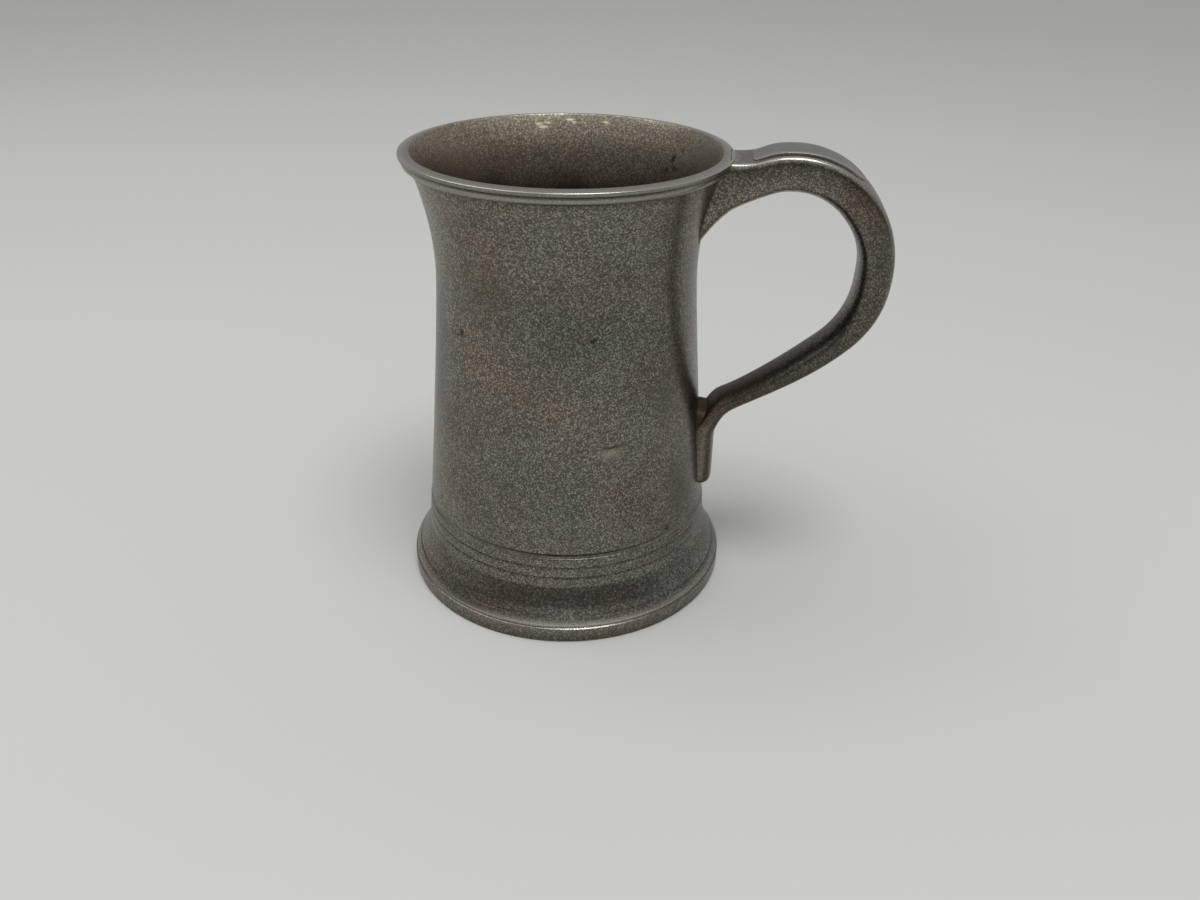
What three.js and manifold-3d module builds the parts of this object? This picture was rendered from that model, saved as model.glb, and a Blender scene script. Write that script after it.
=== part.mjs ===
// A cast pewter tankard: waisted drum, moulded foot, soldered floor and a loop handle with a thumb plate.
// Millimetres, +Z up. The origin is on the drum's axis in the standing plane, and the handle points along +X.

import * as THREE from 'three';
import { LoftGeometry } from 'three/addons/geometries/LoftGeometry.js';
import { mergeVertices } from 'three/addons/utils/BufferGeometryUtils.js';
import Module from 'manifold-3d';

// Drum
const rimHeight = 127;
const wall = 2.4;
const lipRadius = 44;
const lipWidth = 2.8;
const lipTopFall = 0.5;
const lipRollHeight = 2.5;
const beadHeight = 1.6;
const beadSetback = 1.9;
const beadProud = 1.1;
const waistRadius = 36.1;
const waistDrop = 32;
const drumBaseRadius = 41.6;
const shoulderWidth = 1;

// Foot, from the standing plane up
const footSpread = 6.3;
const footEdgeRound = 0.6;
const footBandHeight = 3.1;
const quirkHeight = 1.6;
const ovoloSetback = 0.9;
const ovoloRise = 2.3;
const ovoloCrown = 0.9;
const coveRise = 9.2;
const coveLip = 0.5;
const sleeveProud = 0.6;
const grooveLead = 1.8;
const groovePitch = 3.2;
const grooveWidth = 1;
const grooveDepth = 0.4;
const seamLead = 3.6;
const seamWidth = 1.2;

// Floor
const floorThickness = 4;
const floorFillet = 2.2;

// Handle
const handleRootDrop = 0.7;
const handleCrestRise = 1.3;
const handleCrestOutset = 15.5;
const handleReach = 43.8;
const handleBellyDrop = 29.8;
const handleArmOutset = 4.95;
const handleArmRise = 25.3;
const tailLength = 16;
const tailRise = 4.9;
const tailStandOff = 3.1;
const tailEndRound = 2.4;
const crestThickness = 8.6;
const bellyThickness = 8.1;
const kneeThickness = 5.9;
const armThickness = 4.9;
const elbowThickness = 7.1;
const webDepth = 17.2;
const webLength = 16.3;
const crestWidth = 16.4;
const bellyWidth = 15.4;
const kneeWidth = 12.6;
const armWidth = 11.2;
const tailWidth = 13;

// Thumb plate
const plateLipGap = 4.6;
const plateLength = 30.8;
const plateWidth = 11.8;
const plateThickness = 0.65;
const plateEndThickness = 0.35;
const plateEndRound = 5;

// Fits
const seatGap = 0.3;
const filmGap = 0.4;
const filmThickness = 0.5;

// Curve shapes: how far each curve leans on its end tangents, as a share of its own span
const taperLean = 0.13;
const flareLean = 0.48;
const coveLean = 0.48;
const quarterLean = 0.5523;
const bellyLean = 0.455;
const armLean = 0.575;
const armLift = 0.304;
const elbowLean = 0.65;
const tongueLean = 0.3;

// Section shapes: 2 is an ellipse, and a larger number is nearer a rectangle
const gripSquareness = 6;
const armSquareness = 2.8;
const plateSquareness = 8;

// Facets
const turns = 56;
const curveSteps = 5;
const handleSteps = 54;
const plateSteps = 14;
const endSteps = 4;
const sectionPoints = 20;

const lipInnerRadius = lipRadius - lipWidth;
const beadRadius = lipRadius - beadSetback;
const neckRadius = beadRadius - beadProud;
const neckHeight = rimHeight - lipRollHeight - beadHeight;
const waistHeight = rimHeight - waistDrop;
const drumInnerRadius = drumBaseRadius - wall;
const spigotRadius = drumBaseRadius - shoulderWidth;

const footRadius = drumBaseRadius + footSpread;
const ovoloRadius = footRadius - ovoloSetback;
const ovoloFoot = footBandHeight + quirkHeight;
const coveFoot = ovoloFoot + ovoloRise;
const coveFootRadius = ovoloRadius - ovoloCrown;
const coveTop = coveFoot + coveRise;
const sleeveRadius = drumBaseRadius + sleeveProud;
const coveTopRadius = sleeveRadius + coveLip;
const lowerGroove = coveTop + grooveLead;
const upperGroove = lowerGroove + groovePitch;
const footTop = upperGroove + seamLead - seamWidth / 2;
const drumShoulder = footTop + seamWidth;

const wasm = await Module();
wasm.setup();

const pewter = new THREE.MeshStandardMaterial({ color: 0x6a6961, roughness: 0.5, metalness: 0.9 });
const wornPewter = new THREE.MeshStandardMaterial({ color: 0x85857c, roughness: 0.4, metalness: 0.9 });
const solder = new THREE.MeshStandardMaterial({ color: 0x8f9190, roughness: 0.35, metalness: 0.9 });

const tankard = new THREE.Group();

function addPiece(name, geometry, material) {
  const mesh = new THREE.Mesh(geometry, material);
  mesh.name = name;
  tankard.add(mesh);
}

// A path of (radius, height) points turned about the axis. The path runs up its outer side.
function turned(path) {
  const points = path.getPoints(curveSteps);
  return new THREE.LatheGeometry(points, turns).rotateX(Math.PI / 2);
}

function toSolid(geometry) {
  const bare = new THREE.BufferGeometry().copy(geometry);
  bare.deleteAttribute('normal');
  bare.deleteAttribute('uv');
  const merged = mergeVertices(bare);
  const corners = merged.index.array;
  const kept = [];
  for (let i = 0; i < corners.length; i += 3) {
    const [a, b, c] = corners.slice(i, i + 3);
    if (a !== b && b !== c && c !== a) kept.push(a, b, c);
  }
  const mesh = new wasm.Mesh({
    numProp: 3,
    vertProperties: Float32Array.from(merged.attributes.position.array),
    triVerts: Uint32Array.from(kept),
  });
  return new wasm.Manifold(mesh);
}

function toGeometry(body) {
  const mesh = body.getMesh();
  const geometry = new THREE.BufferGeometry();
  geometry.setAttribute('position', new THREE.BufferAttribute(mesh.vertProperties, mesh.numProp));
  geometry.setIndex(new THREE.BufferAttribute(mesh.triVerts, 1));
  geometry.computeVertexNormals();
  return geometry;
}

const taperControl = waistHeight - taperLean * (waistHeight - drumShoulder);
const flareControl = waistHeight + flareLean * (neckHeight - waistHeight);

// The drum's outside from its shoulder up to the top of the lip, moved out by a clearance.
function drumOutside(path, out) {
  const rollTop = rimHeight - lipTopFall;
  const rollBottom = rimHeight - lipRollHeight;
  path.lineTo(drumBaseRadius + out, drumShoulder);
  path.quadraticCurveTo(waistRadius + out, taperControl, waistRadius + out, waistHeight);
  path.quadraticCurveTo(waistRadius + out, flareControl, neckRadius + out, neckHeight);
  path.lineTo(beadRadius + out, neckHeight + beadHeight / 2);
  path.lineTo(beadRadius - grooveDepth + out, rollBottom);
  path.quadraticCurveTo(lipRadius + out, rollBottom, lipRadius + out, (rollTop + rollBottom) / 2);
  path.quadraticCurveTo(lipRadius + out, rollTop, (lipRadius * 3 + lipInnerRadius) / 4 + out, rollTop);
}

function drumGeometry() {
  const path = new THREE.Path();
  const innerWaist = waistRadius - wall;
  const spigotEnd = floorThickness + seatGap;
  path.moveTo(spigotRadius, spigotEnd);
  path.lineTo(spigotRadius, drumShoulder);
  drumOutside(path, 0);
  path.lineTo(lipInnerRadius, rimHeight);
  path.quadraticCurveTo(innerWaist, flareControl, innerWaist, waistHeight);
  path.quadraticCurveTo(innerWaist, taperControl, drumInnerRadius, drumShoulder);
  path.lineTo(drumInnerRadius, spigotEnd);
  path.lineTo(spigotRadius, spigotEnd);
  return turned(path);
}

// A V-shaped groove turned into the sleeve of the foot.
function scribe(path, height) {
  path.lineTo(sleeveRadius, height - grooveWidth / 2);
  path.lineTo(sleeveRadius - grooveDepth, height);
  path.lineTo(sleeveRadius, height + grooveWidth / 2);
}

function footGeometry() {
  const path = new THREE.Path();
  const bore = spigotRadius + seatGap;
  const edgeRound = Math.min(footEdgeRound, footBandHeight / 2);
  path.moveTo(bore, 0);
  path.lineTo(footRadius - edgeRound, 0);
  path.lineTo(footRadius, edgeRound);
  path.lineTo(footRadius, footBandHeight - edgeRound);
  path.lineTo(footRadius - edgeRound, footBandHeight);
  path.lineTo(ovoloRadius - grooveDepth, footBandHeight + quirkHeight / 2);
  path.lineTo(ovoloRadius, ovoloFoot);
  path.quadraticCurveTo(ovoloRadius, coveFoot, coveFootRadius, coveFoot);
  path.lineTo(coveFootRadius - grooveDepth, coveFoot + grooveDepth);
  path.quadraticCurveTo(sleeveRadius + 2 * coveLip, coveTop - coveLean * coveRise, coveTopRadius, coveTop);
  scribe(path, lowerGroove);
  scribe(path, upperGroove);
  path.lineTo(sleeveRadius, footTop);
  path.lineTo(bore, footTop);
  path.lineTo(bore, 0);
  return turned(path);
}

function floorGeometry() {
  const path = new THREE.Path();
  path.moveTo(0, 0);
  path.lineTo(spigotRadius, 0);
  path.lineTo(spigotRadius, floorThickness);
  path.lineTo(0, floorThickness);
  return turned(path);
}

// The fillet of solder in the inside corner between the floor and the drum.
function floorSolderGeometry() {
  const path = new THREE.Path();
  const outer = drumInnerRadius - seatGap;
  const bottom = floorThickness + seatGap;
  path.moveTo(outer - floorFillet, bottom);
  path.lineTo(outer, bottom);
  path.lineTo(outer, bottom + floorFillet);
  path.quadraticCurveTo(outer, bottom, outer - floorFillet, bottom);
  return turned(path);
}

// The ring of solder round the spigot, between the foot's top edge and the drum's shoulder.
function footSolderGeometry() {
  const path = new THREE.Path();
  const inner = spigotRadius + seatGap;
  const outer = drumBaseRadius - grooveDepth;
  path.moveTo(inner, footTop + seatGap);
  path.lineTo(outer, footTop + seatGap);
  path.lineTo(outer, drumShoulder - seatGap);
  path.lineTo(inner, drumShoulder - seatGap);
  path.lineTo(inner, footTop + seatGap);
  return turned(path);
}

// The height and radius of the drum's outside are read off the same path that turns it.
function drumRadiusAt(height) {
  const path = new THREE.Path();
  path.moveTo(spigotRadius, drumShoulder);
  drumOutside(path, 0);
  const points = path.getPoints(curveSteps);
  const above = points.findIndex((point) => point.y > height);
  const share = (height - points[above - 1].y) / (points[above].y - points[above - 1].y);
  return THREE.MathUtils.lerp(points[above - 1].x, points[above].x, share);
}

// Everything inside the drum's outside, grown by a clearance: it cuts the saddles of the handle.
function drumPlug(out) {
  const path = new THREE.Path();
  path.moveTo(0, drumShoulder);
  drumOutside(path, out);
  path.lineTo(path.currentPoint.x, crestTop);
  path.lineTo(0, crestTop);
  return toSolid(turned(path));
}

const rootStart = waistRadius - wall;
const rootTop = rimHeight - handleRootDrop;
const crestTop = rimHeight + handleCrestRise;
const crestOut = lipRadius + handleCrestOutset;
const reachOut = lipRadius + handleReach;
const bellyHeight = crestTop - handleBellyDrop;
const tailEnd = drumShoulder + tailRise;
const armEnd = tailEnd + handleArmRise;
const elbowEnd = tailEnd + tailLength;
const filmStack = filmThickness + 2 * filmGap;
const tailOut = drumRadiusAt(elbowEnd) + filmStack + tailStandOff;
const tailThickness = tailStandOff + filmStack + wall;
const armOut = tailOut + handleArmOutset;

// The handle's outer line in the XZ plane: root, rise to the crest, belly, lower arm, elbow and tongue.
const armRun = armLean * (reachOut - armOut);
const armClimb = armLift * (bellyHeight - armEnd);
const elbowRun = elbowLean * handleArmOutset;
const riseMiddle = (lipRadius + crestOut) / 2;
const rail = new THREE.Path();
rail.moveTo(rootStart, rootTop);
rail.lineTo(lipRadius, rootTop);
rail.bezierCurveTo(riseMiddle, rootTop, riseMiddle, crestTop, crestOut, crestTop);
rail.bezierCurveTo(
  crestOut + quarterLean * (reachOut - crestOut), crestTop,
  reachOut, bellyHeight + quarterLean * handleBellyDrop,
  reachOut, bellyHeight,
);
rail.bezierCurveTo(
  reachOut, bellyHeight - bellyLean * (bellyHeight - armEnd),
  armOut + armRun, armEnd + armClimb,
  armOut, armEnd,
);
rail.bezierCurveTo(
  armOut - elbowRun, armEnd - (elbowRun * armClimb) / armRun,
  tailOut, elbowEnd + tongueLean * (armEnd - elbowEnd),
  tailOut, elbowEnd,
);
rail.lineTo(tailOut, tailEnd);
const [rootPlace, crestPlace, bellyPlace, armPlace, elbowPlace, endPlace] = rail.getCurveLengths();
const kneePlace = (bellyPlace + armPlace) / 2;
const bendPlace = (armPlace + elbowPlace) / 2;

// A value along the rail, joined by smooth steps between the places where it is given.
function alongRail(place, stations) {
  const next = Math.max(stations.findIndex(([station]) => station >= place), 1);
  const [from, fromValue] = stations[next - 1];
  const [to, toValue] = stations[next];
  return THREE.MathUtils.lerp(fromValue, toValue, THREE.MathUtils.smoothstep(place, from, to));
}

// How far a rounded end has drawn in, at a distance before that end.
function drawnIn(distance, radius) {
  const share = THREE.MathUtils.clamp(1 - distance / radius, 0, 1);
  return radius * (1 - Math.sqrt(1 - share * share));
}

// A rounded rectangular section across the rail, from the outer side in by its thickness.
function railSection(place, lift, thickness, width, squareness) {
  const share = place / endPlace;
  const at = rail.getPoint(share);
  const along = rail.getTangent(share);
  const outward = new THREE.Vector3(-along.y, 0, along.x);
  const middle = new THREE.Vector3(at.x, 0, at.y).addScaledVector(outward, lift - thickness / 2);
  const power = 2 / squareness;
  const points = [];
  for (let i = 0; i < sectionPoints; i += 1) {
    const angle = ((i + 0.5) / sectionPoints) * 2 * Math.PI;
    const across = Math.sign(Math.cos(angle)) * Math.abs(Math.cos(angle)) ** power;
    const through = Math.sign(Math.sin(angle)) * Math.abs(Math.sin(angle)) ** power;
    const point = middle.clone().addScaledVector(outward, (through * thickness) / 2);
    point.y += (across * width) / 2;
    points.push(point);
  }
  return points;
}

function handleSection(place) {
  const grip = alongRail(place, [
    [0, crestThickness],
    [crestPlace, crestThickness],
    [bellyPlace, bellyThickness],
    [kneePlace, kneeThickness],
    [armPlace, armThickness],
    [bendPlace, elbowThickness],
    [elbowPlace, tailThickness],
    [endPlace, tailThickness],
  ]);
  const width = alongRail(place, [
    [0, crestWidth],
    [crestPlace, crestWidth],
    [bellyPlace, bellyWidth],
    [kneePlace, kneeWidth],
    [armPlace, armWidth],
    [elbowPlace, tailWidth],
    [endPlace, tailWidth],
  ]);
  const squareness = alongRail(place, [
    [0, gripSquareness],
    [bellyPlace, gripSquareness],
    [armPlace, armSquareness],
    [endPlace, armSquareness],
  ]);
  const webShare = Math.max(1 - place / webLength, 0);
  const ease = drawnIn(endPlace - place, tailEndRound);
  const thickness = grip + webDepth * webShare * webShare - ease;
  return railSection(place, -ease, thickness, width - 2 * ease, squareness);
}

function handleLoft() {
  const sections = [];
  const straight = endPlace - tailEndRound;
  for (let i = 0; i <= handleSteps; i += 1) {
    sections.push(handleSection((straight * i) / handleSteps));
  }
  for (let i = 1; i <= endSteps; i += 1) {
    const angle = (i / endSteps) * (Math.PI / 2);
    sections.push(handleSection(straight + tailEndRound * Math.sin(angle)));
  }
  return toSolid(new LoftGeometry(sections, { capStart: true, capEnd: true }));
}

// The thumb plate lies along the crest. Its end at the lip is square, its outer end round and thinner.
function plateGeometry() {
  const start = rootPlace + plateLipGap;
  const straight = plateLength - plateEndRound;
  const sections = [];
  const addSection = (distance, width) => {
    const thin = THREE.MathUtils.smoothstep(distance, plateLength / 2, plateLength);
    const thickness = THREE.MathUtils.lerp(plateThickness, plateEndThickness, thin);
    sections.push(railSection(start + distance, seatGap + thickness, thickness, width, plateSquareness));
  };
  for (let i = 0; i <= plateSteps; i += 1) {
    addSection((straight * i) / plateSteps, plateWidth);
  }
  for (let i = 1; i <= endSteps; i += 1) {
    const angle = (i / (endSteps + 1)) * (Math.PI / 2);
    addSection(straight + plateEndRound * Math.sin(angle), plateWidth * Math.cos(angle));
  }
  return toGeometry(toSolid(new LoftGeometry(sections, { capStart: true, capEnd: true })));
}

const handleBlank = handleLoft();
const film = handleBlank.intersect(drumPlug(filmGap + filmThickness).subtract(drumPlug(filmGap)));
const handle = handleBlank.subtract(drumPlug(filmStack));

addPiece('drum', drumGeometry(), pewter);
addPiece('foot', footGeometry(), pewter);
addPiece('floor_disc', floorGeometry(), pewter);
addPiece('floor_solder', floorSolderGeometry(), solder);
addPiece('foot_solder', footSolderGeometry(), solder);
addPiece('handle', toGeometry(handle), pewter);
addPiece('thumb_plate', plateGeometry(), wornPewter);
addPiece('root_solder', toGeometry(film.trimByPlane([0, 0, 1], bellyHeight)), solder);
addPiece('tail_solder', toGeometry(film.trimByPlane([0, 0, -1], -bellyHeight)), solder);

export default tankard;
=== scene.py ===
import math

import bmesh
import bpy
from mathutils import Matrix, Vector, geometry


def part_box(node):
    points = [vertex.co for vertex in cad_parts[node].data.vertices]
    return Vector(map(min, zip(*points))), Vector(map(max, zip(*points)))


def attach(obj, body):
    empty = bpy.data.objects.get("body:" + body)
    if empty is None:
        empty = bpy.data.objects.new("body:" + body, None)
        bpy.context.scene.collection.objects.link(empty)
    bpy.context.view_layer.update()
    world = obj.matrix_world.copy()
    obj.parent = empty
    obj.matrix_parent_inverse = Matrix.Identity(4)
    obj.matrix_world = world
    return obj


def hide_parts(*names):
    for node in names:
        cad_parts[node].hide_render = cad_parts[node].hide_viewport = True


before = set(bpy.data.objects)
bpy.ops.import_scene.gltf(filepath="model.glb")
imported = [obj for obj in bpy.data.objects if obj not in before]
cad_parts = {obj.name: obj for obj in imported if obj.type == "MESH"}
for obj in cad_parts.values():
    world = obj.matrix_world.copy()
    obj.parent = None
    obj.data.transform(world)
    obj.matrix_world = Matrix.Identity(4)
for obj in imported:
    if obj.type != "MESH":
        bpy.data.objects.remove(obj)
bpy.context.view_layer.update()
mm = 0.001
print("frame loaded with", len(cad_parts), "nodes")


def linear(hexColour):
    channels = [int(hexColour[i:i + 2], 16) / 255 for i in (1, 3, 5)]
    return [c / 12.92 if c <= 0.04045 else ((c + 0.055) / 1.055) ** 2.4 for c in channels] + [1.0]


def addNode(tree, kind, inputs=None, out=0, **settings):
    node = tree.nodes.new(kind)
    for name, value in settings.items():
        setattr(node, name, value)
    for name, value in (inputs or {}).items():
        if isinstance(value, bpy.types.NodeSocket):
            tree.links.new(value, node.inputs[name])
        else:
            node.inputs[name].default_value = value
    return node.outputs[out] if len(node.outputs) else node


def bend(start, pull, end, steps):
    # points of a curve that leaves start and reaches end along lines to pull, without its first point
    first, middle, last = (Vector((*point, 0)) for point in (start, pull, end))
    handles = first.lerp(middle, 2 / 3), last.lerp(middle, 2 / 3)
    points = geometry.interpolate_bezier(first, *handles, last, steps + 1)
    return [(point.x, point.y, 0) for point in points[1:]]


def between(value, stations):
    # a smooth value between (place, value) stations
    for (start, low), (end, high) in zip(stations, stations[1:]):
        if value <= end:
            share = max(0.0, (value - start) / (end - start))
            return low + (high - low) * share * share * (3 - 2 * share)
    return stations[-1][1]


def fade(value, centre, reach):
    return math.exp(-((value - centre) / reach) ** 2)


# Drum: a tapered wall with a waist, a flare and a rolled lip.
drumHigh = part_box("drum")[1] / mm
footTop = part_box("foot")[1].z / mm
drum = {
    "rim": drumHigh.z, "lip": drumHigh.x, "wall": 2.4, "waist": 36.1, "waistDrop": 32.0, "base": 41.6,
    "shoulder": footTop + 1.2, "spigot": 40.6, "spigotEnd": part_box("drum")[0].z / mm,
    "neck": 41.0, "neckDrop": 4.1, "lipWidth": 2.8, "lipFall": 0.45, "lipSide": 1.4, "quirk": 43.1,
    "neckLine": 0.25, "beadTop": 43.3, "beadHeight": 2.5, "beadEnd": 42.2, "beadLow": 0.8, "beadHigh": 0.3,
    "quirkDrop": 0.25, "insideFacing": -0.35,
    "taperLean": 0.13, "flareLean": 0.48, "turns": 240, "taperSteps": 26, "flareSteps": 14, "beadSteps": 6,
}
waistHeight = drum["rim"] - drum["waistDrop"]
neckHeight = drum["rim"] - drum["neckDrop"]
taperPull = waistHeight - drum["taperLean"] * (waistHeight - drum["shoulder"])
flarePull = waistHeight + drum["flareLean"] * (neckHeight - waistHeight)


def drumWall(inset, top):
    # the taper and the flare from the shoulder up to the top, moved in by the inset
    low = (drum["base"] - inset, drum["shoulder"])
    waist = (drum["waist"] - inset, waistHeight)
    taper = bend(low, (waist[0], taperPull), waist, drum["taperSteps"])
    return [(*low, 0)] + taper + bend(waist, (waist[0], flarePull), top, drum["flareSteps"])


outerWall = drumWall(0, (drum["neck"], neckHeight))
innerWall = drumWall(drum["wall"], (drum["lip"] - drum["lipWidth"], drum["rim"]))


def drumRadius(height, wall=outerWall):
    # the radius of the plain wall, and past the neck a straight slope to the lip
    wall = wall + [(drum["lip"], drum["rim"], 0)]
    for (low, lowHeight, _), (high, highHeight, _) in zip(wall, wall[1:]):
        if height <= highHeight:
            return low + (high - low) * (height - lowHeight) / (highHeight - lowHeight)
    return drum["lip"]


# Pewter is a grey tin alloy. Old cast pewter has a sandy skin from the mould, a patchy grey to brown
# tarnish, dirt in its corners, and a smoother, paler metal where hands and tables rub it.
# Its grain is drawn a little coarser than on the object, so that it shows at the render's size.
# The grime colour also paints shade, shadows and dark reflections, and the worn colour also paints a
# highlight on the foot's edge.
castLook = {
    "warm": "#7b7166", "cool": "#71736d", "wornAndHighlight": "#b9b7ad", "grimeAndShade": "#2a251d", "stain": "#5a452c",
    "patchSize": 26.0, "smudgeSize": 44.0, "smudgeDepth": 0.24,
    "grainSize": 0.37, "sandShare": 0.4, "grainDepth": 2.0, "grainHeight": 0.025, "bumpStrength": 0.7,
    "ringSize": 0.5, "ringDepth": 0.0, "pitSpacing": 9.0, "pitShare": 0.018,
    "roughness": 0.31, "roughnessSpread": 0.14, "wornRoughness": 0.24, "stainRoughness": 0.6,
}
# The lip was skimmed on a lathe, so it is smoother and has fine turning lines round it.
turnedLook = dict(
    castLook, warm="#86827a", cool="#80827c", grainDepth=0.5, grainHeight=0.01,
    ringDepth=0.2, smudgeDepth=0.18, roughness=0.34, pitShare=0.012,
)
# The inside is turned too, and browned by what it held.
insideLook = dict(
    castLook, warm="#a49785", cool="#989283", ringDepth=0.1, ringSize=0.8, grainDepth=1.8,
    smudgeSize=30.0, smudgeDepth=0.3, roughness=0.4, pitShare=0.02,
)
# The thumb plate is rubbed smooth by the thumb.
rubbedLook = dict(
    castLook, warm="#84817a", cool="#7f807a", grainDepth=0.5, grainHeight=0.01,
    smudgeSize=14.0, smudgeDepth=0.18, roughness=0.32, roughnessSpread=0.1, pitShare=0.012,
)
# Soft solder runs into the seam and stays dull, with a stain round it.
solderLook = dict(
    castLook, warm="#766b5e", cool="#706e66", grainSize=0.6, grainDepth=1.2, grainHeight=0.03,
    smudgeSize=6.0, smudgeDepth=0.35, roughness=0.46,
)
# The solder of the foot seam was filed flush, and has tarnished like the castings.
filedLook = dict(solderLook, warm="#7b7166", cool="#71736d", grainSize=0.37, roughness=0.36)
# Single marks on a wall: bearing in degrees, height, half length round the drum, half height, colour and
# strength.
insideMarksAndHighlights = [
    (160.0, 119.5, 17.0, 13.0, "#8a8070", 0.5), (23.0, 123.0, 17.0, 11.0, "#817e73", 0.6),
    # the near-white specks by the far rim, here and below, are painted highlights
    (108.5, 123.4, 1.7, 0.5, "#fff4d8", 0.9), (110.6, 124.3, 1.2, 0.4, "#fff4d8", 0.9),
    (106.4, 124.5, 0.9, 0.4, "#fff4d8", 0.9), (97.0, 125.3, 1.6, 0.4, "#fff4d8", 0.9),
    (95.4, 124.6, 0.8, 0.35, "#fff4d8", 0.9), (82.0, 125.0, 1.2, 0.4, "#fff4d8", 0.9),
    (45.0, 118.4, 1.2, 1.9, "#2b241a", 0.85), (43.0, 115.8, 0.9, 1.4, "#2b241a", 0.8),
    (47.5, 115.0, 1.3, 1.1, "#2b241a", 0.8), (40.5, 121.0, 0.8, 1.6, "#2b241a", 0.6),
]
drumMarks = [
    (-130.0, 84.3, 1.5, 1.3, "#26221b", 0.85), (-38.2, 26.7, 1.7, 1.4, "#26221b", 0.85),
    (-71.1, 87.0, 1.0, 0.9, "#26221b", 0.85),
    (-64.3, 55.2, 3.4, 1.9, "#a39e92", 0.6), (-63.9, 57.0, 3.4, 0.5, "#38332b", 0.8),
    (-116.0, 97.0, 15.0, 12.0, "#5e564a", 0.4), (-153.0, 72.0, 8.0, 50.0, "#4a4740", 0.7),
    (-28.0, 38.0, 9.0, 17.0, "#4c4d47", 0.6), (-36.0, 67.0, 9.0, 12.0, "#53544d", 0.5),
]


# the ranges of the noises, of the grain and of a mark's distance that are spread over a tone
noiseSpan = {"From Min": 0.3, "From Max": 0.7}
grainSpan = {"From Min": 0.46, "From Max": 0.8}
markSpan = {"From Min": 0.2, "From Max": 1.1}
grainDark, grainPale = 0.2, 0.8
smudgeShift = (0.3, 0.7, 0.1)


def mixColour(tree, share, first, second, **settings):
    inputs = {0: share, 6: first, 7: second}
    return addNode(tree, "ShaderNodeMix", inputs, out=2, data_type="RGBA", **settings)


def multiply(tree, first, second, **settings):
    return addNode(tree, "ShaderNodeMath", {0: first, 1: second}, operation="MULTIPLY", **settings)


def toneFrom(tree, value, span, darker, paler):
    # a factor from 1 - darker to 1 + paler
    return addNode(tree, "ShaderNodeMapRange", {
        "Value": value, **span, "To Min": 1 - darker, "To Max": 1 + paler})


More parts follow.
